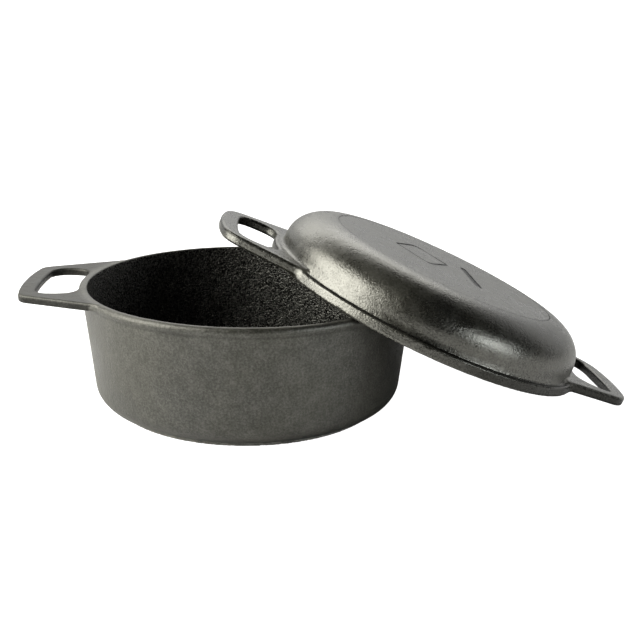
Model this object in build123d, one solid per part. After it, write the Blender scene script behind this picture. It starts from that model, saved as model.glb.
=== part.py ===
from build123d import *
from math import radians, tan
import os

# A two-piece cast iron dutch oven in millimetres: a deep pot, and a shallow skillet that turned over is its lid.
# The origin is the centre of the pot's foot, on the surface it stands on. +Z is up and +X points to the
# side where the lid leans, with its rim on the pot's rim and the edge of one of its handles on that surface.

# Rim, alike on both castings
rim_inner_radius = 130.0
rim_inner_round = 0.8

# Pot
pot_height = 98.0
pot_rim_radius = 135.0
pot_rim_round = 3.5
pot_band_height = 6.8
pot_band_proud = 1.3
pot_draft = tan(radians(5.9))  # how far the wall leans out, per mm of height
pot_floor = 5.2
pot_corner_round = 16.0
pot_inner_corner_round = 20.0
foot_radius = 112.0
foot_height = 3.4
belly_slope = tan(radians(11.0))  # how far the underside has risen outside the foot, per mm outwards

# Lid, in its own frame: its rim lies in the plane z = 0 and its dome points up
lid_height = 45.4
lid_band_radius = 136.0
lid_band_height = 8.3
lid_band_round = 1.6
lid_wall_radius = 130.7
lid_wall_top = 17.3
lid_thickness = 4.2
lid_rim_depth = 7.0  # how far up the cavity narrows from the rim's inner radius to the wall
pad_radius = 95.7  # the flat pad that the skillet stands on, ringed by a fine groove
ring_width = 1.2
ring_depth = 0.5

# Plain mark cut into the lid's pad: a lozenge outline with a short bar beside it
mark_depth = 0.5
mark_line = 2.2
lozenge_half = (24.0, 34.0)
lozenge_centre = (-18.0, 12.0)
bar_size = (5.0, 66.0)
bar_centre = (25.0, 0.0)

# How the lid leans
lean_angle = 23.17
lean_x = 143.8  # where the middle of the lid's rim is along X

# Handles: the half width at the corners grows by the splay for each mm towards the middle of the pot
pot_handle = dict(
    tip=181.2, bow=4.6, half_width=46.2, splay=0.424, corner=12.0, thickness=6.4, edge=1.8,
    hole_tip=167.6, hole_half_width=40.0, hole_bow=2.0, hole_corner=12.0, hole_root=136.2, hole_root_corner=14.0,
)
lid_handle = dict(
    tip=184.6, bow=6.0, half_width=46.0, splay=0.36, corner=23.0, thickness=7.8, edge=2.1,
    hole_tip=170.0, hole_half_width=42.5, hole_bow=3.0, hole_corner=13.0, hole_root=137.4, hole_root_corner=13.0,
)
handle_root_x = 112.0  # inside the wall, so that each handle is one casting with its vessel
lid_handle_base = 2.7  # height of the handle's underside above the rim plane


def turned(*corners):
    """A solid of revolution about Z from (radius, height, rounding) corners."""
    outline = make_face(Polyline(*[(r, z) for r, z, _ in corners], close=True))
    for r, z, rounding in corners:
        if rounding:
            corner = outline.vertices().sort_by_distance((r, z, 0))[0]
            outline = fillet(corner, rounding)
    return revolve(Plane.XZ * outline, Axis.Z)


def handle(shape):
    """One loop handle on the +X side, its underside at z = 0."""
    outer_x = shape["tip"] - shape["bow"]
    width = shape["half_width"]
    root_width = width + shape["splay"] * (outer_x - handle_root_x)
    outside = make_face(
        ThreePointArc((outer_x, -width), (shape["tip"], 0), (outer_x, width))
        + Polyline((outer_x, width), (handle_root_x, root_width), (handle_root_x, -root_width), (outer_x, -width))
    )
    outside = fillet(outside.vertices().group_by(Axis.X)[-1], shape["corner"])

    hole_x = shape["hole_tip"] - shape["hole_bow"]
    hole_width = shape["hole_half_width"]
    hole_block = make_face(
        ThreePointArc((hole_x, -hole_width), (shape["hole_tip"], 0), (hole_x, hole_width))
        + Polyline((hole_x, hole_width), (handle_root_x, hole_width), (handle_root_x, -hole_width), (hole_x, -hole_width))
    )
    hole = hole_block - Circle(shape["hole_root"])
    corners = hole.vertices().group_by(Axis.X)
    hole = fillet(corners[-1], shape["hole_corner"])
    hole = fillet(hole.vertices().group_by(Axis.X)[0], shape["hole_root_corner"])

    loop = extrude(outside - hole, shape["thickness"])
    faces = loop.faces().sort_by(Axis.Z)
    rounded = [edge for edge in faces[0].edges() + faces[-1].edges() if edge.center().X > handle_root_x + 1]
    return fillet(rounded, shape["edge"])


def both_sides(solid):
    return solid + Rot(0, 0, 180) * solid


def pot():
    band_bottom = pot_height - pot_band_height
    wall_radius = pot_rim_radius - pot_band_proud  # just under the band
    belly_radius = foot_radius + 0.6
    # the wall's line and the underside's line meet at this corner, before it is rounded
    corner_radius = (
        wall_radius - pot_draft * (band_bottom - foot_height + belly_slope * belly_radius)
    ) / (1 - pot_draft * belly_slope)
    corner_height = foot_height + belly_slope * (corner_radius - belly_radius)
    outside = turned(
        (0, 0, 0),
        (foot_radius, 0, 0.8),
        (foot_radius, foot_height, 0),
        (belly_radius, foot_height, 0),
        (corner_radius, corner_height, pot_corner_round),
        (wall_radius, band_bottom, 2.0),
        (pot_rim_radius, band_bottom + 1.2, 1.0),
        (pot_rim_radius, pot_height, pot_rim_round),
        (0, pot_height, 0),
    )
    above = 10.0  # the cavity is cut from above the rim
    cavity = turned(
        (0, pot_floor, 0),
        (rim_inner_radius - pot_draft * (pot_height - pot_floor), pot_floor, pot_inner_corner_round),
        (rim_inner_radius, pot_height, 0),
        (rim_inner_radius, pot_height + above, 0),
        (0, pot_height + above, 0),
    )
    loop = Pos(0, 0, pot_height - pot_handle["thickness"]) * handle(pot_handle)
    casting = outside + both_sides(loop) - cavity
    inner_rim = casting.edges().filter_by(GeomType.CIRCLE).filter_by(
        lambda edge: abs(edge.radius - rim_inner_radius) < 0.01 and abs(edge.center().Z - pot_height) < 0.01
    )
    return fillet(inner_rim, rim_inner_round)


def dome_section(radius, height, shoulder, flat_radius):
    """Half section of a dome: a wall up to the shoulder, a quarter ellipse, and a flat top."""
    curve = EllipticalCenterArc((flat_radius, shoulder), radius - flat_radius, height - shoulder, 0, arc_size=90)
    return make_face(
        Polyline((0, 0), (radius, 0), (radius, shoulder)) + curve + Polyline((flat_radius, height), (0, height), (0, 0))
    )


def lid():
    dome = revolve(Plane.XZ * dome_section(lid_wall_radius, lid_height, lid_wall_top, pad_radius), Axis.Z)
    band = turned(
        (0, 0, 0),
        (lid_band_radius, 0, 1.2),
        (lid_band_radius, lid_band_height, lid_band_round),
        (0, lid_band_height, 0),
    )
    ring = turned(
        (pad_radius - ring_width / 2, lid_height + 1, 0),
        (pad_radius - ring_width / 2, lid_height - ring_depth, 0),
        (pad_radius + ring_width / 2, lid_height - ring_depth, 0),
        (pad_radius + ring_width / 2, lid_height + 1, 0),
    )
    inner_radius = lid_wall_radius - lid_thickness
    cavity = revolve(
        Plane.XZ * dome_section(inner_radius, lid_height - lid_thickness, lid_wall_top, pad_radius), Axis.Z
    )
    below = 5.0  # the cavity is cut from below the rim
    mouth = turned(
        (0, -below, 0),
        (rim_inner_radius, -below, 0),
        (rim_inner_radius, 0, 0),
        (inner_radius, lid_rim_depth, 0),
        (0, lid_rim_depth, 0),
    )
    loop = Pos(0, 0, lid_handle_base) * handle(lid_handle)
    casting = dome + band + both_sides(loop) - cavity - mouth
    inner_rim = casting.edges().filter_by(GeomType.CIRCLE).filter_by(
        lambda edge: abs(edge.radius - rim_inner_radius) < 0.01 and abs(edge.center().Z) < 0.01
    )
    casting = fillet(inner_rim, rim_inner_round)
    return casting - ring - mark()


def mark():
    """The cutter for the plain mark, from the pad's face down."""
    across, along = lozenge_half
    tips = [(across, 0), (0, along), (-across, 0), (0, -along)]
    outline = make_face(Polyline(*tips, close=True))
    outline = fillet(outline.vertices(), 6.0)
    frame = outline - offset(outline, -mark_line)
    bar = RectangleRounded(bar_size[0], bar_size[1], bar_size[0] / 2 - 0.1)
    flat = Pos(*lozenge_centre) * frame + Pos(*bar_centre) * bar
    return Pos(0, 0, lid_height - mark_depth) * extrude(flat, 2 * mark_depth)


def leaning(casting):
    """Tilts the lid down towards +X and lowers it until its handle touches the surface."""
    tilted = Rot(0, lean_angle, 0) * casting
    drop = tilted.bounding_box().min.Z
    return Pos(lean_x, 0, -drop) * tilted


os.makedirs("parts", exist_ok=True)
for name, casting in (("pot", pot()), ("skillet_lid", leaning(lid()))):
    export_step(casting, f"parts/{name}.step")
    size = casting.bounding_box().size
    print(name, f"{casting.volume / 1000:.0f} cm3, {size.X:.1f} x {size.Y:.1f} x {size.Z:.1f} mm")
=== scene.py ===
import math
import bmesh
import bpy
import numpy as np
from mathutils import Matrix, Vector, noise


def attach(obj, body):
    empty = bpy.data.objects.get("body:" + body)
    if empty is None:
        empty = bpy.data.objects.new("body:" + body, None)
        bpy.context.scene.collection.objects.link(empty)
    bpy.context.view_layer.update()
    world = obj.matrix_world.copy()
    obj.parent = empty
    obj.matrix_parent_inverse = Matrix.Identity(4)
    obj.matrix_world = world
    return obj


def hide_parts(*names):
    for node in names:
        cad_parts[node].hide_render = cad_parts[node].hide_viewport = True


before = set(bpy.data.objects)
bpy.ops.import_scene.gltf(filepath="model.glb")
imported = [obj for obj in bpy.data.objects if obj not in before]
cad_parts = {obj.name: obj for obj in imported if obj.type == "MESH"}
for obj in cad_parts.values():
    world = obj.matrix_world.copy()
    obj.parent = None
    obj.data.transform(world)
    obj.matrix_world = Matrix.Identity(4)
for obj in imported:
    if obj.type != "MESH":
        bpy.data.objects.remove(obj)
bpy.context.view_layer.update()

mm = 0.001

# camera, light and table
view = {
    "place": (0.0048, -0.7651, 0.2935),  # metres from the pot's foot
    "yaw": 4.07,  # degrees to the right
    "pitch": 16.64,  # degrees down
    "roll": 1.21,
    "lens": 53.75,
}


def makeCamera():
    yaw, pitch, roll = (math.radians(view[k]) for k in ("yaw", "pitch", "roll"))
    ahead = Vector((math.sin(yaw) * math.cos(pitch), math.cos(yaw) * math.cos(pitch), -math.sin(pitch)))
    level = Vector((math.cos(yaw), -math.sin(yaw), 0))
    over = level.cross(ahead)
    right = level * math.cos(roll) + over * math.sin(roll)
    up = -level * math.sin(roll) + over * math.cos(roll)
    turn = Matrix((right, up, -ahead)).transposed()
    data = bpy.data.cameras.new("camera")
    data.lens = view["lens"]
    data.sensor_width = 36
    camera = bpy.data.objects.new("camera", data)
    camera.matrix_world = Matrix.Translation(view["place"]) @ turn.to_4x4()
    bpy.context.collection.objects.link(camera)
    bpy.context.scene.camera = camera


studio = {
    "room": 0.03,  # brightness of the dark room in front and overhead
    "backdrop": 0.72,  # brightness of the white paper behind
    "paperRise": (-0.1, 0.6),  # how far back the paper begins and is full, as a direction
    "paperFade": (0.3, 0.9),  # how high it starts to fade and is gone
    "tableHalf": 40.0,  # metres
    "tableShade": 0.35, "tableGlow": 0.9,
    "underShade": 0.85, "underGlow": 0.05,
    "underDrop": 0.0002,
    "topLight": 3.2,  # shines on the table alone
    "topLightSize": 0.9, "topLightPlace": (-0.4, -0.25, 1.25),
    # softboxes: place, aim, width, height, brightness, colour
    "softboxes": {
        "leftBox": ((-1.20, -0.36, 0.76), (0.05, -0.05, 0.08), 1.5, 1.5, 5.1, (1, 0.99, 0.92)),
        "backBox": ((0.1, 1.5, 1.3), (0.1, 0, 0.05), 2.4, 1.0, 1.9, (1, 0.99, 0.95)),
        "frontBox": ((1.12, -1.0, 0.30), (0.18, -0.1, 0.08), 0.60, 0.50, 6.5, (0.96, 1, 1)),
    },
}


def makeWorld():
    world = bpy.data.worlds.new("studio")
    bpy.context.scene.world = world
    world.use_nodes = True
    nodes, links = world.node_tree.nodes, world.node_tree.links
    background = nodes["Background"]
    background.inputs["Color"].default_value = (1, 1, 1, 1)
    where = nodes.new("ShaderNodeTexCoord")
    split = nodes.new("ShaderNodeSeparateXYZ")
    links.new(where.outputs["Generated"], split.inputs[0])
    # paper stands behind, and fades out overhead
    behind = nodes.new("ShaderNodeMapRange")
    behind.interpolation_type = "SMOOTHSTEP"
    behind.inputs["From Min"].default_value, behind.inputs["From Max"].default_value = studio["paperRise"]
    links.new(split.outputs["Y"], behind.inputs["Value"])
    overhead = nodes.new("ShaderNodeMapRange")
    overhead.interpolation_type = "SMOOTHSTEP"
    overhead.inputs["From Min"].default_value, overhead.inputs["From Max"].default_value = studio["paperFade"]
    overhead.inputs["To Min"].default_value = 1
    overhead.inputs["To Max"].default_value = 0
    links.new(split.outputs["Z"], overhead.inputs["Value"])
    paper = nodes.new("ShaderNodeMath")
    paper.operation = "MULTIPLY"
    links.new(behind.outputs[0], paper.inputs[0])
    links.new(overhead.outputs[0], paper.inputs[1])
    level = nodes.new("ShaderNodeMapRange")
    level.inputs["To Min"].default_value = studio["room"]
    level.inputs["To Max"].default_value = studio["backdrop"]
    links.new(paper.outputs[0], level.inputs["Value"])
    # the room itself is seen as plain white
    path = nodes.new("ShaderNodeLightPath")
    seen = nodes.new("ShaderNodeMix")
    seen.inputs["B"].default_value = 1.0
    links.new(path.outputs["Is Camera Ray"], seen.inputs["Factor"])
    links.new(level.outputs[0], seen.inputs["A"])
    links.new(seen.outputs[0], background.inputs["Strength"])


castings = bpy.data.collections.new("castings")


def makeSoftboxes():
    for name, (spot, aim, width, height, brightness, colour) in studio["softboxes"].items():
        data = bpy.data.lights.new(name, "AREA")
        data.shape = "RECTANGLE"
        data.size, data.size_y = width, height
        data.energy = brightness * width * height * math.pi
        data.color = colour
        lamp = bpy.data.objects.new(name, data)
        lamp.location = spot
        lamp.rotation_euler = (Vector(aim) - Vector(spot)).to_track_quat("-Z", "Y").to_euler()
        lamp.visible_camera = False
        if name == "frontBox":
            lamp.light_linking.receiver_collection = castings  # no pool of light on the table
        bpy.context.collection.objects.link(lamp)


# a broad lamp overhead for the table, which the dark room over the iron doesn't show
def makeTopLight(tables):
    data = bpy.data.lights.new("topLight", "AREA")
    data.shape = "SQUARE"
    data.size = studio["topLightSize"]
    data.energy = studio["topLight"] * data.size ** 2 * math.pi
    lamp = bpy.data.objects.new("topLight", data)
    lamp.location = studio["topLightPlace"]
    lamp.visible_camera = lamp.visible_glossy = False
    bpy.context.collection.objects.link(lamp)
    receivers = bpy.data.collections.new("tables")
    for table in tables:
        receivers.objects.link(table)
    lamp.light_linking.receiver_collection = receivers


def makeSheet(name, height, shade, glow):
    half = studio["tableHalf"]
    mesh = bpy.data.meshes.new(name)
    corners = [(x * half, y * half, height) for x, y in ((-1, -1), (1, -1), (1, 1), (-1, 1))]
    mesh.from_pydata(corners, [], [(0, 1, 2, 3)])
    sheet = bpy.data.objects.new(name, mesh)
    bpy.context.collection.objects.link(sheet)
    material = bpy.data.materials.new(name + "Paper")
    material.use_nodes = True
    shader = material.node_tree.nodes["Principled BSDF"]
    shader.inputs["Base Color"].default_value = (shade, shade, shade, 1)
    shader.inputs["Roughness"].default_value = 1.0
    shader.inputs["Specular IOR Level"].default_value = 0
    shader.inputs["Emission Color"].default_value = (1, 1, 1, 1)
    shader.inputs["Emission Strength"].default_value = glow
    mesh.materials.append(material)
    return sheet


# a white table for the eye, and under it a plainer one that lights the iron
def makeTable():
    table = makeSheet("table", 0, studio["tableShade"], studio["tableGlow"])
    table.visible_diffuse = table.visible_glossy = table.visible_shadow = False
    under = makeSheet("underTable", -studio["underDrop"], studio["underShade"], studio["underGlow"])
    under.visible_camera = False
    makeTopLight((table, under))


# shapes, all in millimetres
pot = {
    "height": 98.0, "rimInner": 130.0, "rimOuter": 135.0, "rimRound": 3.5, "rimInnerRound": 0.8,
    "bandHeight": 6.8, "bandProud": 1.1, "bandRise": 2.2, "bandHollow": 5.0, "bandRound": 2.0,
    "draft": 5.9, "floor": 5.2, "cornerRound": 16.0, "innerCornerRound": 20.0,
    "footRadius": 112.0, "footHeight": 3.4, "footRound": 0.8, "footUndercut": 0.3,
    "bellyStart": 0.6, "bellyRise": 0.1, "bellySlope": 11.0,
    "handleTop": 98.0, "handleThick": 6.4, "handleEdge": 1.8, "handleBlend": 2.5,
}
lid = {
    "height": 45.4, "rimInner": 130.0, "rimInnerRound": 0.8, "rimDepth": 7.0, "rimDepthRound": 2.0,
    "bandRadius": 136.0, "bandHeight": 8.3, "bandRound": 1.0, "bandLowRound": 1.2,
    "wallRadius": 130.7, "wallTop": 17.3, "thick": 4.2,
    # the crease between the band's top and the wall: out from the wall, and down or up from the band's top
    "creaseOut": 1.0, "creaseDown": 0.6, "creaseRound": 0.4, "creaseLip": (0.6, 0.8), "creaseEnd": 4.0,
    "padRadius": 95.7, "ringWidth": 1.2, "ringDepth": 0.5,
    "handleTop": 10.5, "handleThick": 7.8, "handleEdge": 1.8, "handleBlend": 3.5,
    "leanAngle": 23.17, "leanX": 143.8, "leanZ": 69.49,
}
potHandle = {
    "tip": 181.2, "bow": 4.6, "halfWidth": 46.2, "splay": 0.424, "corner": 12.0,
    "holeTip": 167.6, "holeBow": 2.0, "holeHalfWidth": 40.0, "holeCorner": 12.0,
    "holeRoot": 136.2, "rootCorner": 22.4,
}
lidHandle = {
    "tip": 184.6, "bow": 6.0, "halfWidth": 46.0, "splay": 0.36, "corner": 23.0,
    "holeTip": 170.0, "holeBow": 3.0, "holeHalfWidth": 42.5, "holeCorner": 13.0,
    "holeRoot": 137.4, "rootCorner": 20.8,
}
mark = {
    "depth": 0.5, "line": 2.2, "lozenge": (24.0, 34.0), "lozengeAt": (-18.0, 12.0), "lozengeRound": 6.0,
    "bar": (2.5, 33.0), "barAt": (25.0, 0.0),
    "edge": 0.9,  # how wide the lines' sloping sides are
    "reach": 70.0,  # the mark lies inside this radius
}
handleRootX = 112.0
axisSide = -60.0  # outlines run past the axis, so that the axis isn't an edge of them


# corners are (x, y, rounding); gives the closed outline with its corners rounded by arcs
def roundedLine(corners, chord=1.4, bend=9.0):
    points = []
    count = len(corners)
    for i in range(count):
        before, here, after = (np.array(corners[(i + k) % count][:2]) for k in (-1, 0, 1))
        radius = corners[i][2]
        if not radius:
            points.append(here)
            continue
        a = (before - here) / np.linalg.norm(before - here)
        b = (after - here) / np.linalg.norm(after - here)
        half = math.acos(np.clip(a @ b, -1, 1)) / 2
        middle = here + (a + b) / np.linalg.norm(a + b) * radius / math.sin(half)
        start = here + a * radius / math.tan(half) - middle
        end = here + b * radius / math.tan(half) - middle
        sweep = math.atan2(start[0] * end[1] - start[1] * end[0], start @ end)
        steps = max(2, round(abs(sweep) * radius / chord), round(math.degrees(abs(sweep)) / bend))
        for k in range(steps + 1):
            turn = sweep * k / steps
            c, s = math.cos(turn), math.sin(turn)
            points.append(middle + np.array((start[0] * c - start[1] * s, start[0] * s + start[1] * c)))
    return np.array(points)


# signed distance from points to a closed outline, negative inside
def outlineDistance(outline, x, y):
    nearest = np.full(x.shape, 1e9)
    inside = np.zeros(x.shape, bool)
    for a, b in zip(outline, np.roll(outline, -1, axis=0)):
        ex, ey = b - a
        length = ex * ex + ey * ey
        if length < 1e-12:
            continue
        t = np.clip(((x - a[0]) * ex + (y - a[1]) * ey) / length, 0, 1)
        dx, dy = x - a[0] - t * ex, y - a[1] - t * ey
        nearest = np.minimum(nearest, dx * dx + dy * dy)
        if ey != 0:
            crosses = (a[1] > y) != (b[1] > y)
            inside ^= crosses & (x < a[0] + (y - a[1]) * ex / ey)
    return np.where(inside, -1, 1) * np.sqrt(nearest)


# union of two distances with a fillet
def blended(a, b, width):
    h = np.clip(0.5 + 0.5 * (b - a) / width, 0, 1)
    return b + (a - b) * h - width * h * (1 - h)


def potOutline():
    slope = math.tan(math.radians(pot["draft"]))
    belly = math.tan(math.radians(pot["bellySlope"]))
    bandBottom = pot["height"] - pot["bandHeight"]
    wallTop = pot["rimOuter"] - pot["bandProud"]
    bellyRadius = pot["footRadius"] + pot["bellyStart"]
    # the wall's line and the underside's line meet at the corner
    wallRun = bandBottom - pot["footHeight"] + belly * bellyRadius
    cornerRadius = (wallTop - slope * wallRun) / (1 - slope * belly)
    cornerHeight = pot["footHeight"] + belly * (cornerRadius - bellyRadius)
    floorRadius = pot["rimInner"] - slope * (pot["height"] - pot["floor"])
    return roundedLine([
        (axisSide, 0, 0),
        (pot["footRadius"], 0, pot["footRound"]),
        (pot["footRadius"] - pot["footUndercut"], pot["footHeight"], 0),
        (bellyRadius, pot["footHeight"] + pot["bellyRise"], 0),
        (cornerRadius, cornerHeight, pot["cornerRound"]),
        (wallTop, bandBottom, pot["bandHollow"]),
        (pot["rimOuter"], bandBottom + pot["bandRise"], pot["bandRound"]),
        (pot["rimOuter"], pot["height"], pot["rimRound"]),
        (pot["rimInner"], pot["height"], pot["rimInnerRound"]),
        (floorRadius, pot["floor"], pot["innerCornerRound"]),
        (axisSide, pot["floor"], 0),
    ])


def ellipseArc(radius, height, shoulder, flatRadius, steps):
    out, up = radius - flatRadius, height - shoulder
    turns = np.linspace(0, math.pi / 2, steps)
    return [(flatRadius + out * math.cos(t), shoulder + up * math.sin(t), 0) for t in turns]


def lidOutline():
    wall, top, pad, band = lid["wallRadius"], lid["height"], lid["padRadius"], lid["bandHeight"]
    inner = wall - lid["thick"]
    ceiling = top - lid["thick"]
    groove = lid["ringWidth"] / 2
    lipOut, lipUp = lid["creaseLip"]
    rim = [
        (lid["rimInner"], 0, lid["rimInnerRound"]),
        (lid["bandRadius"], 0, lid["bandLowRound"]),
        (lid["bandRadius"], band, lid["bandRound"]),
        (wall + lid["creaseOut"], band - lid["creaseDown"], lid["creaseRound"]),
        (wall + lipOut, band + lipUp, 0),
        (wall, band + lid["creaseEnd"], 0),
    ]
    padLine = [
        (pad + groove, top, 0), (pad, top - lid["ringDepth"], 0), (pad - groove, top, 0),
        (axisSide, top, 0), (axisSide, ceiling, 0),
    ]
    dome = ellipseArc(wall, top, lid["wallTop"], pad, 40)[:-1]
    hollow = ellipseArc(inner, ceiling, lid["wallTop"], pad, 30)[::-1]
    return roundedLine(rim + dome + padLine + hollow + [(inner, lid["rimDepth"], lid["rimDepthRound"])])


# a handle's or its hole's outline: a bowed tip with two rounded corners, and sides to the root
def loopLine(tip, bow, halfWidth, rootWidth, corner):
    edge = tip - bow
    middle = np.linspace(-0.6, 0.6, 7) * halfWidth  # between the corners
    bowed = [(tip - bow * (y / halfWidth) ** 2, y, 0) for y in middle]
    return roundedLine([(handleRootX, -rootWidth, 0), (edge, -halfWidth, corner)] + bowed
                       + [(edge, halfWidth, corner), (handleRootX, rootWidth, 0)])


# flat distance to a loop handle with its finger hole
def handleDistance(shape, x, y):
    x = np.abs(x)
    rootWidth = shape["halfWidth"] + shape["splay"] * (shape["tip"] - shape["bow"] - handleRootX)
    outside = loopLine(shape["tip"], shape["bow"], shape["halfWidth"], rootWidth, shape["corner"])
    hole = loopLine(shape["holeTip"], shape["holeBow"], shape["holeHalfWidth"], shape["holeHalfWidth"],
                    shape["holeCorner"])
    rim = np.hypot(x, y) - shape["holeRoot"]  # the hole ends at the rim, with rounded corners
    filled = blended(-outlineDistance(hole, x, y), rim, shape["rootCorner"])
    return np.maximum(outlineDistance(outside, x, y), filled)


# a flat outline given thickness and rounded edges
def slabDistance(flat, z, top, thick, edge):
    a = flat + edge
    b = np.abs(z - (top - thick / 2)) - thick / 2 + edge
    return np.minimum(np.maximum(a, b), 0) + np.hypot(np.maximum(a, 0), np.maximum(b, 0)) - edge


# a vessel's wall with its two handles, which count only near the wall and outside wallLimit
def castingDistance(p, line, shape, loop, wallLimit):
    x, y, z = p.T
    radius = np.hypot(x, y)
    result = outlineDistance(line, radius, z)
    near = (np.abs(x) > handleRootX - 12) & (radius > wallLimit - 6)
    if near.any():
        flat = handleDistance(loop, x[near], y[near])
        slab = slabDistance(flat, z[near], shape["handleTop"], shape["handleThick"], shape["handleEdge"])
        slab = np.maximum(slab, wallLimit - radius[near])
        result[near] = blended(result[near], slab, shape["handleBlend"])
    return result


def potDistance(p):
    wall = castingDistance(p, potLine, pot, potHandle, pot["rimInner"] + 2)
    return np.maximum(wall, p[:, 2] - pot["height"])


# flat distance to the middle of the mark's lines: a lozenge outline and a bar
def markDistance(x, y):
    across, along = mark["lozenge"]
    tips = ((across, 0), (0, along), (-across, 0), (0, -along))
    lozenge = roundedLine([(*tip, mark["lozengeRound"]) for tip in tips])
    toLozenge = outlineDistance(lozenge, x - mark["lozengeAt"][0], y - mark["lozengeAt"][1])
    frameLine = np.abs(toLozenge) - mark["line"] / 2
    wide, long = mark["bar"]
    dy = np.maximum(np.abs(y - mark["barAt"][1]) - long + wide, 0)
    return np.minimum(frameLine, np.hypot(x - mark["barAt"][0], dy) - wide)


def lidDistance(p):
    result = castingDistance(p, lidLine, lid, lidHandle, lid["wallRadius"] - 2)
    near = (p[:, 2] > lid["height"] - 3) & (np.hypot(p[:, 0], p[:, 1]) < mark["reach"])
    if near.any():
        x, y, z = p[near].T
        cut = mark["depth"] * np.clip(0.5 - markDistance(x, y) / mark["edge"], 0, 1)
        result[near] += cut
    return result


potLine = potOutline()
lidLine = lidOutline()


# moves points along the slope of a distance until they lie on its surface
def settleOn(points, distance, rounds=3):
    points = points.copy()
    small = 0.02
    for _ in range(rounds):
        here = distance(points)
        slope = np.stack([distance(points + np.eye(3)[k] * small) - here for k in range(3)], axis=1) / small
        size = np.maximum((slope ** 2).sum(axis=1), 0.3)
        points -= slope * np.clip(here, -2, 2)[:, None] / size[:, None]
    return points


# the lid's own frame: tilted down towards +X, so that its lower handle is on the table
def lidPlace():
    tilt = Matrix.Rotation(math.radians(lid["leanAngle"]), 4, "Y")
    return Matrix.Translation((lid["leanX"] * mm, 0, lid["leanZ"] * mm)) @ tilt


# castings
meshing = {
    "potFace": 2.32, "lidFace": 2.28,  # face size in millimetres
    "roughFace": 3.2,
    # where faces are split again: round the rims, the foot, and the lid's ring, mark and crease
    "rimReach": 4.0, "footTop": 6.0, "footReach": 4.0,
    "bandTop": 13.0, "bandInner": 124.0, "creaseInner": 129.5, "creaseReach": 1.6,
    "lineReach": 3.5, "lineClose": 2.0,
    "swell": 0.10, "swellSize": 34.0,  # slow unevenness of the sand mould
    "ripple": 0.05, "rippleSize": 7.0,
    "potSeed": 3, "lidSeed": 11,
}


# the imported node's mesh in the casting's own frame and in millimetres, with even faces
def roughMesh(node, toLocal, face):
    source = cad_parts[node]
    mesh = source.data.copy()
    mesh.transform(Matrix.Scale(1 / mm, 4) @ toLocal @ source.matrix_world)
    rough = bpy.data.objects.new(node + "Rough", mesh)
    bpy.context.collection.objects.link(rough)
    remesh = rough.modifiers.new("even", "REMESH")
    remesh.mode = "VOXEL"
    remesh.voxel_size = face
    even = bpy.data.meshes.new_from_object(rough.evaluated_get(bpy.context.evaluated_depsgraph_get()))
    bpy.data.objects.remove(rough)
    return even


def readPoints(mesh):
    points = np.empty(len(mesh.vertices) * 3)
    mesh.vertices.foreach_get("co", points)
    return points.reshape(-1, 3)


def writePoints(mesh, points):
    mesh.vertices.foreach_set("co", points.ravel())
    mesh.update()


# splits the faces whose corners are all near a feature, then settles every new point
def refine(mesh, near, distance):
    bm = bmesh.new()
    bm.from_mesh(mesh)
    bm.verts.ensure_lookup_table()
    marked = near(readPoints(mesh))
    edges = [e for e in bm.edges if marked[e.verts[0].index] and marked[e.verts[1].index]]
    bmesh.ops.subdivide_edges(bm, edges=edges, cuts=1, use_grid_fill=True)
    bm.to_mesh(mesh)
    bm.free()
    points = readPoints(mesh)
    close = near(points)
    points[close] = settleOn(points[close], distance, 2)
    writePoints(mesh, points)


# sand castings are never quite even
def unevenness(points, seed):
    shift = Vector((seed, seed * 0.7, -seed))
    slow = np.array([noise.noise(Vector(p) / meshing["swellSize"] + shift) for p in points])
    fine = np.array([noise.noise(Vector(p) / meshing["rippleSize"] - shift) for p in points])
    return slow * meshing["swell"] + fine * meshing["ripple"]


# the rough mesh settled on its outline, split near each feature, and made uneven except where it lies still
def castingMesh(node, toLocal, face, distance, features, still, seed):
    mesh = roughMesh(node, toLocal, face)
    writePoints(mesh, settleOn(readPoints(mesh), distance))
    for near in features:
        refine(mesh, near, distance)
    points = readPoints(mesh)
    normals = np.empty(len(points) * 3)
    mesh.vertex_normals.foreach_get("vector", normals)
    rise = unevenness(points, seed) * ~still(points)
    writePoints(mesh, points + normals.reshape(-1, 3) * rise[:, None])
    return mesh


# faces inside the hollow take the second material, whose colour is darkened with painted shade
def paintHollow(mesh, rimPlane, upward, radius):
    centres = np.empty(len(mesh.polygons) * 3)
    mesh.polygons.foreach_get("center", centres)
    centres = centres.reshape(-1, 3)
    normals = np.empty(len(mesh.polygons) * 3)
    mesh.polygons.foreach_get("normal", normals)
    normals = normals.reshape(-1, 3)
    depth = (rimPlane - centres[:, 2]) * upward
    away = np.hypot(centres[:, 0], centres[:, 1])
    inward = (centres[:, :2] * normals[:, :2]).sum(axis=1) < -0.2 * away
    facing = inward | (normals[:, 2] * upward > 0.3)
    hollow = facing & (away < radius) & (depth > 0.9) & (depth < pot["height"] - 1)
    return hollow.astype(np.int32)


# finishes
ironLook = {
    "shade": (0.009, 0.009, 0.008), "warmShade": (0.014, 0.0135, 0.009), "paleShade": (0.030, 0.030, 0.023),
    "speckShade": (0.06, 0.057, 0.046), "edgeShade": (0.085, 0.082, 0.072),
    "paintedCreaseShade": (0.006, 0.006, 0.005), "paintedHollowShade": (0.004, 0.004, 0.004),
    # colours for paler places, from wear and painted light, and for painted shade
    "wornAndPaintedLightColour": (0.20, 0.197, 0.18), "paintedShadeColour": (0.002, 0.002, 0.002),
    "cloud": 60.0, "speck": 1.5,  # sizes in millimetres
    "runs": (0.45, 0.45, 0.035),  # runs of seasoning are drawn out along the wall
    "gleam": 1.85,  # index of refraction of oiled iron
    "gleamTint": (1.0, 0.99, 0.93, 1),
}
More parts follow.
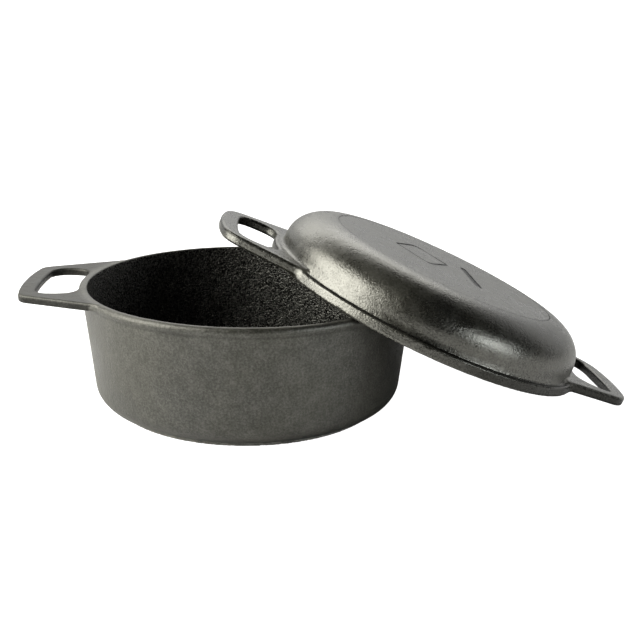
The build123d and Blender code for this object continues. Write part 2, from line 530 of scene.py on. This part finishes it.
# grain sizes in millimetres and heights in millimetres
finishes = {
    "potOutside": {"rough": (0.40, 0.54), "grain": 1.7, "grainRise": 0.22, "fine": 0.9, "fineRise": 0.10,
                   "lump": 7.0, "lumpRise": 0.40, "mottle": 12.0, "streaks": 0.4, "speck": 0.2,
                   "sheen": (0.99, 1.10), "grit": (0.37, 0.63), "patch": (0.86, 1.14), "dark": 0.0},
    "lidOutside": {"rough": (0.24, 0.35), "grain": 1.5, "grainRise": 0.23, "fine": 0.8, "fineRise": 0.11,
                   "lump": 9.0, "lumpRise": 0.25, "mottle": 12.0, "streaks": 0.0, "speck": 0.15,
                   "sheen": (1.3, 1.3), "grit": (0.39, 0.62), "patch": (0.90, 1.10), "dark": 0.0},
    # the hollow's "dark" mixes its colour towards near-black: painted shade
    "hollow": {"rough": (0.36, 0.50), "grain": 1.6, "grainRise": 1.6, "fine": 1.0, "fineRise": 0.30,
               "lump": 9.0, "lumpRise": 0.0, "mottle": 14.0, "streaks": 0.0, "speck": 0.3,
               "sheen": (1.05, 1.05), "grit": (-0.2, 1.15), "patch": (0.9, 1.1), "dark": 0.9},
}


# a shorthand for one material's node tree
class Nodes:
    def __init__(self, material):
        self.tree = material.node_tree
        self.shader = self.tree.nodes["Principled BSDF"]

    def add(self, kind, inputs=(), **settings):
        node = self.tree.nodes.new("ShaderNode" + kind)
        for key, value in settings.items():
            setattr(node, key, value)
        for key, value in dict(inputs).items():
            if isinstance(value, bpy.types.NodeSocket):
                self.tree.links.new(value, node.inputs[key])
            else:
                node.inputs[key].default_value = value
        return node

    def noise(self, where, size, detail, rough):
        inputs = {"Vector": where, "Scale": 1 / size, "Detail": detail, "Roughness": rough}
        return self.add("TexNoise", inputs).outputs["Fac"]

    def amount(self, name):
        return self.add("Attribute", attribute_name=name).outputs["Fac"]

    def fit(self, value, low, high, toLow=0.0, toHigh=1.0):
        inputs = {"Value": value, "From Min": low, "From Max": high, "To Min": toLow, "To Max": toHigh}
        return self.add("MapRange", inputs).outputs[0]

    def math(self, operation, a, b):
        return self.add("Math", {0: a, 1: b}, operation=operation).outputs[0]

    # sockets 6, 7 and 2 are the mix node's two colours and its result
    def mix(self, factor, a, b):
        return self.add("Mix", {"Factor": factor, 6: a, 7: b}, data_type="RGBA").outputs[2]


def ironShade(name):
    return (*ironLook[name], 1)


def castIron(name):
    look = finishes[name]
    material = bpy.data.materials.new(name + "Iron")
    material.use_nodes = True
    n = Nodes(material)
    metres = n.add("TexCoord").outputs["Object"]
    where = n.add("Mapping", {"Vector": metres, "Scale": (1 / mm,) * 3}).outputs[0]  # millimetres

    mottle = n.noise(where, look["mottle"], 5, 0.6)
    cloud = n.noise(where, ironLook["cloud"], 3, 0.5)
    speck = n.noise(where, ironLook["speck"], 2, 0.7)
    runs = n.add("Mapping", {"Vector": where, "Scale": ironLook["runs"]}).outputs[0]
    streak = n.noise(runs, 1.0, 4, 0.6)

    base = n.mix(n.fit(cloud, 0.35, 0.65), ironShade("shade"), ironShade("warmShade"))
    base = n.mix(n.fit(mottle, 0.55, 0.8, 0, 0.5), base, ironShade("paleShade"))
    base = n.mix(n.fit(streak, 0.5, 0.85, 0, look["streaks"]), base, ironShade("paleShade"))
    base = n.mix(n.fit(speck, 0.54, 0.70, 0, look["speck"]), base, ironShade("speckShade"))
    # edges that hands and tools touch are a little paler, and creases get painted shade
    bend = n.add("NewGeometry").outputs["Pointiness"]
    base = n.mix(n.fit(bend, 0.52, 0.60, 0, 0.45), base, ironShade("edgeShade"))
    # painted shade: concave places are darkened
    base = n.mix(n.fit(bend, 0.40, 0.485, 0.85, 0), base, ironShade("paintedCreaseShade"))
    # painted shade: the hollow's colour is darkened
    base = n.mix(look["dark"], base, ironShade("paintedHollowShade"))
    # paler places: partly wear, partly painted light and reflection
    wornAndPaintedLight = n.math("MULTIPLY", n.amount("wornAndPaintedLight"), n.fit(mottle, 0.3, 0.6, 0.4, 1))
    base = n.mix(wornAndPaintedLight, base, ironShade("wornAndPaintedLightColour"))
    # painted shade, from the second amount on the points
    paintedShade = n.amount("paintedShade")
    base = n.mix(n.math("MULTIPLY", paintedShade, 0.9), base, ironShade("paintedShadeColour"))
    n.tree.links.new(base, n.shader.inputs["Base Color"])

    smooth, dull = look["rough"]
    worked = n.math("ADD", n.math("MULTIPLY", mottle, 0.6), n.math("MULTIPLY", cloud, 0.4))
    roughness = n.math("ADD", n.fit(worked, 0.35, 0.65, smooth, dull), n.fit(speck, 0.3, 0.7, -0.04, 0.05))
    n.tree.links.new(roughness, n.shader.inputs["Roughness"])
    # the skin of oil is patchy; paler places shine more, and painted shade shines less
    sheen = n.fit(speck, 0.34, 0.66, *look["grit"])
    sheen = n.math("MULTIPLY", sheen, n.fit(streak, 0.3, 0.7, *look["sheen"]))
    sheen = n.math("MULTIPLY", sheen, n.fit(mottle, 0.35, 0.65, *look["patch"]))
    sheen = n.math("MULTIPLY", sheen, n.fit(wornAndPaintedLight, 0, 1, 1, 1.8))
    sheen = n.math("MULTIPLY", sheen, n.fit(paintedShade, 0, 1, 1, 0.1))
    n.tree.links.new(sheen, n.shader.inputs["Specular IOR Level"])

    grain = n.noise(where, look["grain"], 2, 0.5)
    fine = n.noise(where, look["fine"], 2, 0.5)
    lump = n.noise(where, look["lump"], 3, 0.6)
    rise = n.math("MULTIPLY", grain, look["grainRise"])
    rise = n.math("ADD", rise, n.math("MULTIPLY", fine, look["fineRise"]))
    rise = n.math("ADD", rise, n.math("MULTIPLY", lump, look["lumpRise"]))
    bump = n.add("Bump", {"Height": rise, "Strength": 1.0, "Distance": mm})
    n.tree.links.new(bump.outputs[0], n.shader.inputs["Normal"])
    n.shader.inputs["IOR"].default_value = ironLook["gleam"]
    n.shader.inputs["Specular Tint"].default_value = ironLook["gleamTint"]
    return material


# a number from 0 to 1 on each point
def addAmount(mesh, name, amount):
    layer = mesh.attributes.new(name, "FLOAT", "POINT")
    layer.data.foreach_set("value", np.clip(amount, 0, 1).astype(np.float32))


# two amounts from 0 to 1 on the points: the first makes places paler, partly from wear and partly as painted
# light; the second is painted shade in creases, under ledges and on shaded sides
potWearAndPaintedLight = {
    # how much paler the rim's top is
    "rimTopPale": 0.19,
    "footLine": (0.4, 0.2, 0.9),  # painted shade above the foot: out from it, up from it, and how wide
    "bandPaintedShade": 0.22,  # painted shade just under the band
    "bellyPaintedShade": 0.42, "bellyTop": 9.0,  # painted shade round the bottom corner, up to this height
    # painted shade on the handles' tops, and deeper on their sides
    "handleTopPaintedShade": 0.3, "handleSidePaintedShade": 0.7,
}


def paintPotWearAndLight(mesh):
    x, y, z = readPoints(mesh).T
    radius = np.hypot(x, y)
    # the foot is made paler: partly wear, partly a painted reflection of the white floor
    foot = (radius > pot["footRadius"] - 1.5) * np.clip(pot["footHeight"] - z, 0, 1)
    # the rim's top is made paler
    rim = potWearAndPaintedLight["rimTopPale"] * (z > pot["height"] - 0.5) * (radius < pot["rimOuter"])
    addAmount(mesh, "wornAndPaintedLight", np.maximum(foot, rim))

    # painted shade: above the foot, under the band, round the bottom corner and on the handles
    out, up, wide = potWearAndPaintedLight["footLine"]
    footLine = 1.2 - np.hypot(radius - pot["footRadius"] - out, z - pot["footHeight"] - up) / wide
    bandBottom = pot["height"] - pot["bandHeight"]
    underBand = (radius > pot["rimInner"] + 1) & (radius < pot["rimOuter"] - 0.4)
    bandLine = potWearAndPaintedLight["bandPaintedShade"] * (1.3 - np.abs(z - bandBottom + 0.4) / 1.2) * underBand
    belly = potWearAndPaintedLight["bellyPaintedShade"] * np.clip((potWearAndPaintedLight["bellyTop"] - z) / 4, 0, 1) * (z > pot["footHeight"])
    onHandle = radius > pot["rimOuter"] + 3
    down = (pot["height"] - 0.9 - z) / 1.2
    handles = np.clip(down, potWearAndPaintedLight["handleTopPaintedShade"], potWearAndPaintedLight["handleSidePaintedShade"]) * onHandle
    addAmount(mesh, "paintedShade", np.max([footLine, bandLine, belly, handles], axis=0))


lidWearAndPaintedLight = {
    "padWorn": 0.04,
    "highEndPaintedLight": 0.2,  # painted light on the side that leans up on the pot
    # painted shade in the crease, the pad's ring and the mark's lines
    "creasePaintedShade": 1.25, "creaseWide": 0.5,
    "ringPaintedShade": 1.1, "ringWide": 0.7,
    "markPaintedShade": 1.4, "markWide": 0.9,
    "seamPaintedShade": 1.2, "seamDown": 1.6, "seamWide": 0.6,  # painted shade along the mould's seam round the handles
    "bandPaintedShade": 0.65,  # painted shade on the low half of the band
}


def paintLidWearAndLight(mesh):
    x, y, z = readPoints(mesh).T
    radius = np.hypot(x, y)
    pad = (radius < lid["padRadius"]) & (z > lid["height"] - 0.3)
    wall = (radius > lid["padRadius"] + 2) & (radius < lid["bandRadius"] + 1)
    # painted light: the high end of the dome is made paler
    highEnd = lidWearAndPaintedLight["highEndPaintedLight"] * wall * np.clip((-x - 20) / 60, 0, 1)
    addAmount(mesh, "wornAndPaintedLight", np.maximum(lidWearAndPaintedLight["padWorn"] * pad, highEnd))

    # painted shade: in the crease, weaker towards the low end, in the ring and the mark's lines, along the
    # seam and on the band's low half
    toCrease = np.hypot(radius - lid["wallRadius"] - 0.8, z - lid["bandHeight"])
    crease = (lidWearAndPaintedLight["creasePaintedShade"] - toCrease / lidWearAndPaintedLight["creaseWide"]) * (radius < lid["bandRadius"])
    onPad = (z > lid["height"] - 1.5) & (radius < lid["padRadius"] + 3)
    ring = onPad * (lidWearAndPaintedLight["ringPaintedShade"] - np.abs(radius - lid["padRadius"]) / lidWearAndPaintedLight["ringWide"])
    onMark = onPad & (radius < mark["reach"])
    lines = onMark * (lidWearAndPaintedLight["markPaintedShade"] - markDistance(x, y) / lidWearAndPaintedLight["markWide"])
    toSeam = np.abs(z - lid["handleTop"] + lidWearAndPaintedLight["seamDown"])
    seam = (radius > lid["bandRadius"] + 1.5) * (lidWearAndPaintedLight["seamPaintedShade"] - toSeam / lidWearAndPaintedLight["seamWide"])
    onBand = (radius > lid["bandRadius"] - 0.8) & (z < lid["bandHeight"] + 0.3)
    band = lidWearAndPaintedLight["bandPaintedShade"] * onBand * np.clip((x + 25) / 50, 0, 1)
    fading = np.clip((40 - x) / 60, 0.3, 1)
    addAmount(mesh, "paintedShade", np.max([crease * fading, ring, lines, seam, band], axis=0))


# puts a casting in the frame, on its body and in place of its node
def place(mesh, name, toWorld, body, node, materials, hollow):
    mesh.transform(toWorld @ Matrix.Scale(mm, 4))
    mesh.materials.clear()
    for material in materials:
        mesh.materials.append(material)
    mesh.polygons.foreach_set("material_index", hollow)
    mesh.shade_smooth()
    piece = bpy.data.objects.new(name, mesh)
    bpy.context.collection.objects.link(piece)
    castings.objects.link(piece)
    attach(piece, body)
    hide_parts(node)


print("camera, light and table")
bpy.context.scene.view_settings.view_transform = "Standard"
bpy.context.scene.view_settings.look = "Medium High Contrast"
makeCamera()
makeWorld()
makeSoftboxes()
makeTable()

print("finishes")
hollowIron = castIron("hollow")

print("pot")


def nearRim(p):
    return p[:, 2] > pot["height"] - pot["bandHeight"] - meshing["rimReach"]


def nearFoot(p):
    radius = np.hypot(p[:, 0], p[:, 1])
    return (p[:, 2] < meshing["footTop"]) & (radius > pot["footRadius"] - meshing["footReach"])


def underFoot(p):
    return p[:, 2] < 1.0


potMesh = castingMesh(
    "pot", Matrix.Identity(4), meshing["potFace"], potDistance,
    [nearRim, nearFoot], underFoot, meshing["potSeed"])
paintPotWearAndLight(potMesh)
place(potMesh, "potCasting", Matrix.Identity(4), "pot", "pot", [castIron("potOutside"), hollowIron],
      paintHollow(potMesh, pot["height"], 1, pot["rimInner"] + 0.2))
print("pot points", len(potMesh.vertices))

print("lid")


def nearMark(p, reach):
    flat = (p[:, 2] > lid["height"] - 2) & (np.hypot(p[:, 0], p[:, 1]) < mark["reach"])
    return flat & (markDistance(p[:, 0], p[:, 1]) < reach)


def nearRing(p, reach):
    away = np.abs(np.hypot(p[:, 0], p[:, 1]) - lid["padRadius"])
    return (p[:, 2] > lid["height"] - 3) & (away < reach)


def nearBand(p):
    return (p[:, 2] < meshing["bandTop"]) & (np.hypot(p[:, 0], p[:, 1]) > meshing["bandInner"])


def nearCrease(p):
    radius = np.hypot(p[:, 0], p[:, 1])
    level = np.abs(p[:, 2] - lid["bandHeight"]) < meshing["creaseReach"]
    return level & (radius < lid["bandRadius"]) & (radius > meshing["creaseInner"])


def nearLidFeatures(p):
    return nearBand(p) | nearMark(p, meshing["lineReach"]) | nearRing(p, meshing["lineReach"])


def onLidLines(p):
    return nearMark(p, meshing["lineClose"]) | nearRing(p, meshing["lineClose"]) | nearCrease(p)


def onRim(p):
    return p[:, 2] < 0.5


lidToWorld = lidPlace()
lidMesh = castingMesh(
    "skillet_lid", lidToWorld.inverted(), meshing["lidFace"], lidDistance,
    [nearLidFeatures, onLidLines], onRim, meshing["lidSeed"])
paintLidWearAndLight(lidMesh)
place(lidMesh, "lidCasting", lidToWorld, "lid", "skillet_lid", [castIron("lidOutside"), hollowIron],
      paintHollow(lidMesh, 0, -1, lid["rimInner"] + 0.2))
print("lid points", len(lidMesh.vertices))
